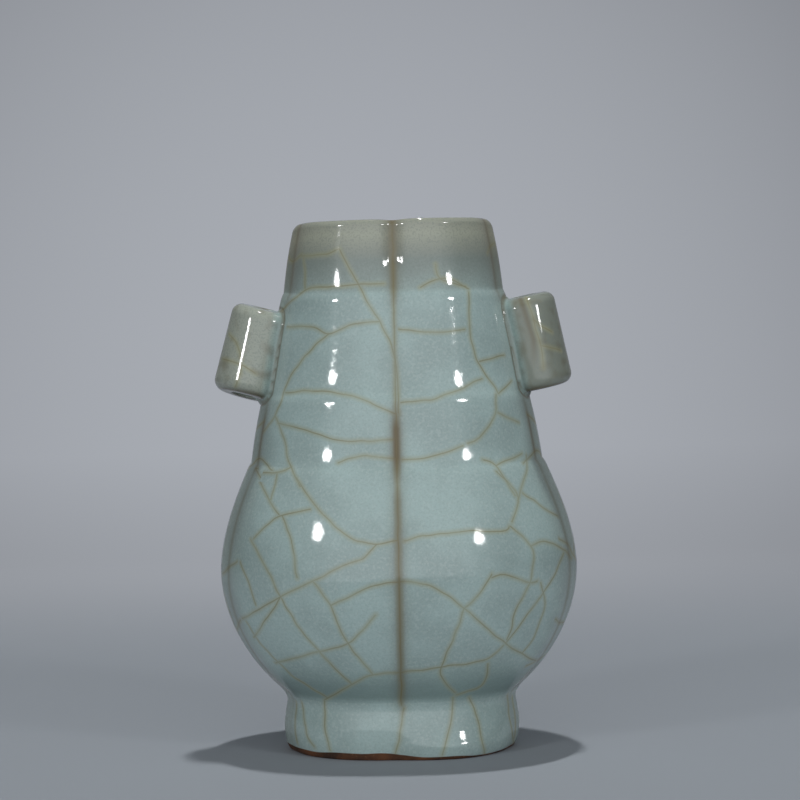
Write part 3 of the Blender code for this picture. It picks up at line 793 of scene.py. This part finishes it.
# Each crack is a line of places across and up the vase, in millimetres, as seen from the front or a side.
FRONT_CRACKS = (
    ((0, 229), (0, 196), (0, 160), (0, 120), (0, 70), (0, 24)),
    ((-23, 219), (-15, 204), (-11, 196), (-3, 182), (0, 172), (1, 161), (1, 149)),
    ((-39, 216), (-29, 217), (-23, 219)),
    ((-48, 193), (-37, 202), (-26, 203), (-13, 204), (-4, 204)),
    ((-38, 216), (-38, 202)),
    ((-46, 186), (-35, 186), (-28, 183), (-18, 187), (-6, 188)),
    ((-28, 183), (-36, 176), (-44, 166), (-49, 155), (-52, 148), (-57, 141)),
    ((-47, 158), (-31, 159), (-18, 157), (-10, 154), (0, 149)),
    ((-51, 145), (-40, 143), (-27, 139), (-14, 138), (0, 139)),
    ((-52, 148), (-48, 139), (-46, 129), (-41, 119)),
    ((2, 185), (15, 183), (30, 184)),
    ((32, 200), (32, 184), (34, 174), (37, 167), (44, 156)),
    ((36, 170), (47, 172)),
    ((44, 156), (50, 161)),
    ((2, 154), (15, 155), (25, 158), (37, 163)),
    ((43, 156), (42, 147), (36, 139), (30, 136)),
    ((43, 148), (53, 143)),
    ((2, 130), (14, 131), (28, 135)),
    ((-25, 129), (-14, 132), (1, 130)),
    ((36, 129), (42, 126), (50, 113)),
    ((42, 126), (54, 130)),
    ((56, 129), (55, 122), (51, 111)),
    ((-61, 125), (-52, 124), (-45, 127)),
    ((18, 212), (20, 206), (31, 202)),
    ((11, 202), (22, 206), (32, 201)),
    ((-43, 123), (-35, 112), (-25, 102), (-17, 97), (-8, 96), (0, 97)),
    ((-62, 96), (-55, 103), (-49, 107), (-37, 110)),
    ((-49, 107), (-45, 96), (-43, 81)),
    ((-63, 96), (-57, 86), (-50, 73), (-42, 59), (-33, 48), (-21, 34)),
    ((-68, 61), (-50, 73), (-37, 80), (-23, 87), (-15, 90), (-9, 96)),
    ((-63, 53), (-57, 62), (-50, 73)),
    ((-36, 80), (-29, 70), (-23, 55), (-12, 39)),
    ((-29, 70), (-17, 76), (-9, 79), (2, 80), (13, 78), (27, 68), (44, 51), (59, 39)),
    ((-61, 125), (-54, 112), (-50, 107)),
    ((-51, 124), (-54, 113)),
    ((-68, 86), (-64, 77), (-61, 68)),
    ((-66, 60), (-61, 52), (-53, 43), (-46, 36), (-38, 31), (-32, 27)),
    ((60, 76), (62, 66), (60, 59), (57, 51), (52, 45)),
    ((-54, 42), (-36, 49), (-23, 53), (-16, 59), (-10, 66)),
    ((-33, 26), (-21, 34), (-12, 39), (3, 40), (19, 42), (36, 44), (44, 50)),
    ((27, 68), (23, 56), (17, 41), (19, 34), (23, 29)),
    ((23, 28), (35, 32), (37, 42)),
    ((2, 97), (13, 99), (30, 100), (44, 99), (47, 101)),
    ((42, 124), (51, 113), (48, 102)),
    ((53, 114), (69, 102)),
    ((47, 101), (56, 92), (57, 83), (54, 74), (49, 65), (47, 57), (45, 52)),
    ((56, 92), (63, 93), (71, 88), (75, 83)),
    ((71, 87), (67, 79), (61, 71), (45, 51)),
    ((38, 80), (45, 81), (54, 77), (59, 77)),
    ((39, 82), (33, 73), (27, 68)),
    ((-33, 26), (-33, 14), (-31, 4)),
    ((-43, 23), (-41, 10), (-38, 5)),
    ((1, 23), (-1, 12), (-3, 3)),
    ((22, 27), (21, 17), (17, 2)),
    ((29, 26), (33, 15), (35, 1)),
    ((46, 24), (47, 13), (49, 1)),
    ((-72, 183), (-68, 178), (-66, 170), (-69, 160)),
    ((-75, 172), (-66, 170), (-60, 166)),
    ((57, 197), (60, 187), (63, 176), (64, 166)),
    ((60, 187), (68, 181)),
    ((63, 176), (72, 173)),
)
SIDE_CRACKS = (
    ((-14, 216), (-4, 220), (8, 214), (17, 217)),
    ((3, 217), (1, 203)),
    ((-28, 126), (-12, 130), (2, 124), (16, 129), (30, 125)),
    ((2, 124), (-6, 108), (-3, 96), (-12, 84)),
    ((-26, 93), (-18, 90), (-12, 84), (4, 78), (20, 83), (27, 86)),
    ((4, 78), (10, 62), (4, 46), (12, 28)),
    ((-24, 58), (-14, 55), (7, 54), (22, 60)),
    ((-24, 38), (-8, 41), (4, 46)),
    ((-14, 146), (0, 141), (14, 145)),
    ((-8, 22), (-10, 4)),
    ((14, 22), (17, 5)),
)


def curve_through(points):
    """Points a short step apart on a smooth curve through the points of one crack."""
    ends = [points[0], *points, points[-1]]
    path = []
    for before, start, end, after in zip(ends, ends[1:], ends[2:], ends[3:]):
        before, start, end, after = [Vector(point) * MM for point in (before, start, end, after)]
        lead = (end - before) / 2
        trail = (after - start) / 2
        for share in rows(0, 1, CRACK_STEP / (end - start).length)[:-1]:
            rest = 1 - share
            swing = lead * share * rest ** 2 - trail * share * share * rest
            path.append(start.lerp(end, ease(share)) + swing)
    return path + [Vector(points[-1]) * MM]


def lay_crack(points, view):
    """Lay one crack onto the outside of the vase as it is seen from one side."""
    laid = []
    turned = Matrix.Rotation(view, 3, "Z")
    for across, height in curve_through(points):
        across += CRACK_SWAY * noise.noise(Vector((across, height, view)) / CRACK_SWAY_SIZE)
        height += CRACK_SWAY * noise.noise(Vector((height, across, view)) / CRACK_SWAY_SIZE)
        hit, normal, _, _ = coat.ray_cast(turned @ Vector((across, -1, height)), turned @ Vector((0, 1, 0)))
        if hit:
            laid.append((hit, normal))
    return laid


coated = (foot, lower_belly, upper_belly, shoulder, neck, mouth, ears[0]["tube"], ears[1]["tube"])
coat_points = []
coat_faces = []
for piece in coated:
    first = len(coat_points)
    coat_points += [Vector(place) for place in places_of(piece)]
    coat_faces += [[first + corner for corner in face.vertices] for face in piece.data.polygons]
coat = BVHTree.FromPolygons(coat_points, coat_faces)
laid_cracks = [lay_crack(points, view) for points in FRONT_CRACKS for view in (0, math.pi)]
laid_cracks += [lay_crack(points, view) for points in SIDE_CRACKS for view in (math.pi / 2, -math.pi / 2)]
crack_spots = []
for number, laid in enumerate(laid_cracks):
    for i, (spot, normal) in enumerate(laid):
        along = laid[min(i + 1, len(laid) - 1)][0] - laid[max(i - 1, 0)][0]
        if along.length > CRACK_BREAK or along.length == 0:
            continue
        along.normalize()
        end = (i == len(laid) - 1) - (i == 0)
        crack_spots.append((number, spot, along, normal.cross(along).normalized(), end))
crack_tree = kdtree.KDTree(len(crack_spots))
for i, (_, spot, _, _, _) in enumerate(crack_spots):
    crack_tree.insert(spot, i)
crack_tree.balance()


def off_crack(corners, crack_spot):
    """How far a face's corners lie off a crack, signed for the side, or unsigned past the crack's end."""
    _, spot, along, across, end = crack_spot
    past = [max(0, end * (corner - spot).dot(along)) for corner in corners]
    sideways = [(corner - spot).dot(across) for corner in corners]
    return [math.hypot(*pair) for pair in zip(past, sideways)] if any(past) else sideways


def groove_smoke(places):
    """Smoke in the upright grooves and round the ears' creases, with painted shade added in the side grooves
    and in a thin veil over the side lobes.
    """
    turn = np.abs(turn_of(places))
    reach = np.hypot(places[:, 0], places[:, 1])
    ratio = depth_ratio(places[:, 2])
    strength = np.interp(places[:, 2], SMOKE_HEIGHTS, SMOKE_SHARES)
    smoke_and_shade = np.zeros(len(places))
    for groove, share, flatness in (
        (0, 1, ratio), (math.pi, 1, ratio),
        # The side grooves take smoke and painted shade.
        (SIDE_GROOVE_ANGLE, SIDE_GROOVE_SMOKE_AND_SHADE, 1), (math.pi - SIDE_GROOVE_ANGLE, SIDE_GROOVE_SMOKE_AND_SHADE, 1),
    ):
        off = np.abs(turn - groove) * reach / flatness
        spread = (np.exp(-(off / SMOKE_HALO) ** 2) + np.exp(-(off / SMOKE_CORE) ** 2)) / 2
        smoke_and_shade = np.maximum(smoke_and_shade, share * strength * spread)
    # Painted shade in a thin veil over the side lobes.
    smoke_and_shade += (1 - smoke_and_shade) * np.interp(np.minimum(turn, math.pi - turn), SIDE_SHADE_VEIL_TURNS, (0, SIDE_SHADE_VEIL))
    for ear in ears:
        off = ear_distance(places, ear) - CREASE_OFF_EAR
        smoke_and_shade = np.maximum(smoke_and_shade, CREASE_STAIN * np.exp(-(off / CREASE_HALF_WIDTH) ** 2))
    return smoke_and_shade


def ear_smoke(places, normals):
    """Smoke on an ear: in its crease, in mottles, and in a run down the right one; and painted shade on its
    underside.
    """
    x, y, z = places.T
    smoke_and_shade = CREASE_STAIN * np.exp(-(wall_distance(places) / CREASE_HALF_WIDTH) ** 2)
    # Painted shade where the ear faces down.
    smoke_and_shade = np.maximum(smoke_and_shade, UNDERSIDE_PAINTED_SHADE * np.interp(-normals[:, 2], UNDERSIDE_SHADE_SLOPES, (0, 1)))
    run_x = np.interp(z, (RUN_FOOT[1], RUN_TOP[1]), (RUN_FOOT[0], RUN_TOP[0]))
    run = np.exp(-((x - run_x) / RUN_HALF_WIDTH) ** 2)
    run *= RUN_STAIN * np.interp(z, (RUN_END_HEIGHT, RUN_FOOT[1]), (0, 1))
    smoke_and_shade = np.maximum(smoke_and_shade, np.where(y < 0, run, 0))
    return np.maximum(smoke_and_shade, MOTTLE * np.clip(unevenness(places, MOTTLE_SIZE), 0, 1))


for piece in (*coated, floor_slab):
    places = places_of(piece)
    inside = wall_distance(places) < -WALL / 2
    on_ear = piece.name.endswith("ear")
    # The note written here holds smoke stains and painted shade.
    note(piece, "smoke_and_shade", ear_smoke(places, normals_of(piece)) if on_ear else groove_smoke(places))
    crack = []
    beside = []
    for face in piece.data.polygons:
        shift = -face.normal * WALL if inside[list(face.vertices)].all() and not on_ear else Vector()
        near = [i for _, i, _ in crack_tree.find_n(face.center + shift, CRACK_NEIGHBOURS)]
        nearest = crack_spots[near[0]]
        others = [crack_spots[i] for i in near if crack_spots[i][0] != nearest[0]]
        corners = [piece.data.vertices[corner].co + shift for corner in face.vertices]
        crack += off_crack(corners, nearest)
        beside += off_crack(corners, others[0]) if others else [FAR_OFF_CRACK] * len(corners)
    note(piece, "crack", crack, "CORNER")
    note(piece, "crack_beside", beside, "CORNER")


def shade_as_one_wall(bands):
    """Give the points where two bands meet one shared normal, so that no seam shows in the glaze."""
    leans = []
    meeting = []
    for band in bands:
        lean = np.zeros((len(band.data.vertices), 3))
        for face in band.data.polygons:
            level = abs(face.normal.z) > LEVEL_NORMAL and 0 < face.center.z
            for corner in face.vertices:
                if level:
                    meeting.append((len(leans), corner))
                else:
                    lean[corner] += face.normal * face.area
        leans.append(lean)
    meeting = sorted(set(meeting))
    meeting_tree = kdtree.KDTree(len(meeting))
    for i, (band, corner) in enumerate(meeting):
        meeting_tree.insert(bands[band].data.vertices[corner].co, i)
    meeting_tree.balance()
    shared = []
    for band, corner in meeting:
        near = meeting_tree.find_range(bands[band].data.vertices[corner].co, 2 * MERGE)
        shared.append(sum(leans[meeting[i][0]][meeting[i][1]] for _, i, _ in near))
    for (band, corner), lean in zip(meeting, shared):
        leans[band][corner] = lean
    for band, lean in zip(bands, leans):
        lean[np.linalg.norm(lean, axis=1) == 0] = (0, 0, 1)
        band.data.normals_split_custom_set_from_vertices(lean / np.linalg.norm(lean, axis=1)[:, None])


shade_as_one_wall((foot, lower_belly, upper_belly, shoulder, neck, mouth))

# The table and the backdrop behind it: one sweep of pale grey paper, wide on the table and narrower behind.
# The backdrop glows with painted light of its own, brightest just behind the vase, fading outwards and
# dimmer on the table, so that it needs no lamp of its own, and it is clear when seen from the back, so that
# it never hides the vase.
TABLE_HALF_WIDTH = 2.5
BACKDROP_HALF_WIDTH = 0.42
SWEEP_FRONT = -1.6
SWEEP_BACK = 0.75
SWEEP_BEND = 0.3
SWEEP_HEIGHT = 2.4
PAPER = "9CA2A9"
# Painted light on the backdrop: its glow fades from this tone at the brightest place to the far tone at the
# edges, and is dimmer on the table.
BACKDROP = "A8ACB3"
BACKDROP_PAINTED_FALLOFF = "83868C"
PAPER_ROUGHNESS = 0.9
PAPER_SHEEN = 0.2
MIRRORED_SHARE = 0.30
BACKDROP_FADE = (0.20, 0.72)
BRIGHTEST_PLACE = (-0.04, 0.10, 0.0)
BACKDROP_REACH = 0.52
HORIZON_PAINTED_SHADE = 0.86
HORIZON_SHADE_HEIGHT = 0.06
BEND_STEP = 0.05
sweep_rows = [(SWEEP_FRONT, 0, TABLE_HALF_WIDTH), (SWEEP_BACK, 0, TABLE_HALF_WIDTH)]
sweep_rows += [
    (SWEEP_BACK + SWEEP_BEND * math.sin(t), SWEEP_BEND * (1 - math.cos(t)), BACKDROP_HALF_WIDTH)
    for t in rows(0, math.pi / 2, BEND_STEP)]
sweep_rows.append((SWEEP_BACK + SWEEP_BEND, SWEEP_HEIGHT, BACKDROP_HALF_WIDTH))
bpy.ops.object.select_all(action="DESELECT")
bpy.ops.mesh.primitive_plane_add(size=1, location=(0, 0, 0))
sweep = bpy.context.object
sweep.name = "paper_sweep"
sweep.data.clear_geometry()
sweep.data.from_pydata(
    [(x, y, z) for y, z, half_width in sweep_rows for x in (-half_width, half_width)], [],
    [(2 * i, 2 * i + 1, 2 * i + 3, 2 * i + 2) for i in range(len(sweep_rows) - 1)])
bpy.ops.object.shade_smooth()
paper = bpy.data.materials.new("matt_paper")
paper.use_nodes = True
sheet = paper.node_tree
shader = sheet.nodes["Principled BSDF"]
shader.inputs["Base Color"].default_value = linear(PAPER)
shader.inputs["Roughness"].default_value = PAPER_ROUGHNESS
shader.inputs["Specular IOR Level"].default_value = PAPER_SHEEN
place = add_node(sheet, "ShaderNodeTexCoord", {}).outputs["Object"]
place = add_node(sheet, "ShaderNodeSeparateXYZ", {0: place}).outputs
behind = add_node(
    sheet, "ShaderNodeMapRange", {0: place[1], 1: BACKDROP_FADE[0], 2: BACKDROP_FADE[1]},
    interpolation_type="SMOOTHSTEP").outputs[0]
far = add_node(sheet, "ShaderNodeCombineXYZ", {0: place[0], 1: place[2]}).outputs[0]
far = add_node(
    sheet, "ShaderNodeVectorMath", {0: far, 1: BRIGHTEST_PLACE}, operation="DISTANCE").outputs["Value"]
far = add_node(sheet, "ShaderNodeMath", {0: far, 1: BACKDROP_REACH}, operation="DIVIDE").outputs[0]
far = add_node(sheet, "ShaderNodeMath", {0: far, 1: 2.0}, operation="POWER").outputs[0]
# Painted light: the glow fades outwards from the brightest place.
tone = add_node(sheet, "ShaderNodeMix", {
    0: far, 6: linear(BACKDROP), 7: linear(BACKDROP_PAINTED_FALLOFF)}, data_type="RGBA").outputs[2]
# Painted shade: the glow is dimmer on the table than up the backdrop.
strength = add_node(
    sheet, "ShaderNodeMapRange", {0: place[2], 1: 0.0, 2: HORIZON_SHADE_HEIGHT, 3: HORIZON_PAINTED_SHADE}).outputs[0]
ray = add_node(sheet, "ShaderNodeLightPath", {}).outputs
seen = add_node(
    sheet, "ShaderNodeMath", {0: ray["Is Glossy Ray"], 1: MIRRORED_SHARE}, operation="MULTIPLY").outputs[0]
seen = add_node(sheet, "ShaderNodeMath", {0: ray["Is Camera Ray"], 1: seen}, operation="MAXIMUM").outputs[0]
seen = add_node(sheet, "ShaderNodeMath", {0: seen, 1: behind}, operation="MULTIPLY").outputs[0]
glow = add_node(sheet, "ShaderNodeEmission", {"Color": tone, "Strength": strength}).outputs[0]
surface = add_node(sheet, "ShaderNodeMixShader", {0: seen, 1: shader.outputs[0], 2: glow}).outputs[0]
from_behind = add_node(sheet, "ShaderNodeNewGeometry", {}).outputs["Backfacing"]
clear = add_node(sheet, "ShaderNodeBsdfTransparent", {}).outputs[0]
surface = add_node(sheet, "ShaderNodeMixShader", {0: from_behind, 1: surface, 2: clear}).outputs[0]
sheet.links.new(surface, sheet.nodes["Material Output"].inputs["Surface"])
sweep.data.materials.append(paper)

# The studio light: two small softboxes at the front corners, a lamp overhead, and the room's soft fill,
# which is dim at both sides. Each fill holds two ends of a direction and the room's strength at each.
LAMP_AIM = Vector((0, 0, 0.13))
ROOM_COLOUR = (0.95, 0.98, 1.0, 1)
ROOM_SEEN = 0.36
SIDE_FILL = (0.50, 0.90, 1.0, 0.03)
FRONT_FILL = (-1.0, 0.3, 1.52, 0.20)
OVERHEAD_FILL = (0.15, 0.75, 1.0, 0.25)
for name, place, size, power in (
    ("left_softbox", (-1.77, -1.77, 1.00), (0.34, 0.28), 9.5),
    ("right_softbox", (1.77, -1.77, 1.05), (0.36, 0.30), 9.5),
    ("overhead_lamp", (0.06, 0.13, 1.65), (0.06, 0.12), 11.5),
):
    bpy.ops.object.light_add(type="AREA", location=place)
    lamp = bpy.context.object
    lamp.name = name
    lamp.data.shape = "ELLIPSE"
    lamp.data.size, lamp.data.size_y = size
    lamp.data.energy = power
    lamp.rotation_euler = (LAMP_AIM - Vector(place)).to_track_quat("-Z", "Y").to_euler()
world = bpy.data.worlds.new("room")
bpy.context.scene.world = world
world.use_nodes = True
room = world.node_tree
direction = add_node(room, "ShaderNodeTexCoord", {}).outputs["Generated"]
direction = add_node(room, "ShaderNodeSeparateXYZ", {0: direction}).outputs
sideways = add_node(room, "ShaderNodeMath", {0: direction[0]}, operation="ABSOLUTE").outputs[0]
fill = 1.0
for value, (low, high, first, last) in (
    (sideways, SIDE_FILL), (direction[1], FRONT_FILL), (direction[2], OVERHEAD_FILL),
):
    share = add_node(room, "ShaderNodeMapRange", {0: value, 1: low, 2: high, 3: first, 4: last}).outputs[0]
    fill = add_node(room, "ShaderNodeMath", {0: fill, 1: share}, operation="MULTIPLY").outputs[0]
ray = add_node(room, "ShaderNodeLightPath", {}).outputs
fill = add_node(room, "ShaderNodeMix", {0: ray["Is Camera Ray"], 2: fill, 3: ROOM_SEEN}).outputs[0]
room.nodes["Background"].inputs["Color"].default_value = ROOM_COLOUR
room.links.new(fill, room.nodes["Background"].inputs["Strength"])

# The camera: at the height of the rim and straight in front, with a long lens. It looks a little down
# and is turned a little about its view.
CAMERA_PLACE = Vector((0.0, -1.31, 0.230))
CAMERA_AIM = Vector((0.0019, 0.0, 0.1524))
CAMERA_LENS = 135.2
CAMERA_SENSOR = 36
CAMERA_ROLL = math.radians(1.1)
bpy.ops.object.camera_add(location=CAMERA_PLACE)
camera = bpy.context.object
camera.data.lens = CAMERA_LENS
camera.data.sensor_width = CAMERA_SENSOR
look = (CAMERA_AIM - CAMERA_PLACE).to_track_quat("-Z", "Y").to_matrix().to_4x4()
camera.matrix_world = Matrix.Translation(CAMERA_PLACE) @ look @ Matrix.Rotation(-CAMERA_ROLL, 4, "Z")
bpy.context.scene.camera = camera
bpy.context.scene.view_settings.view_transform = "Standard"
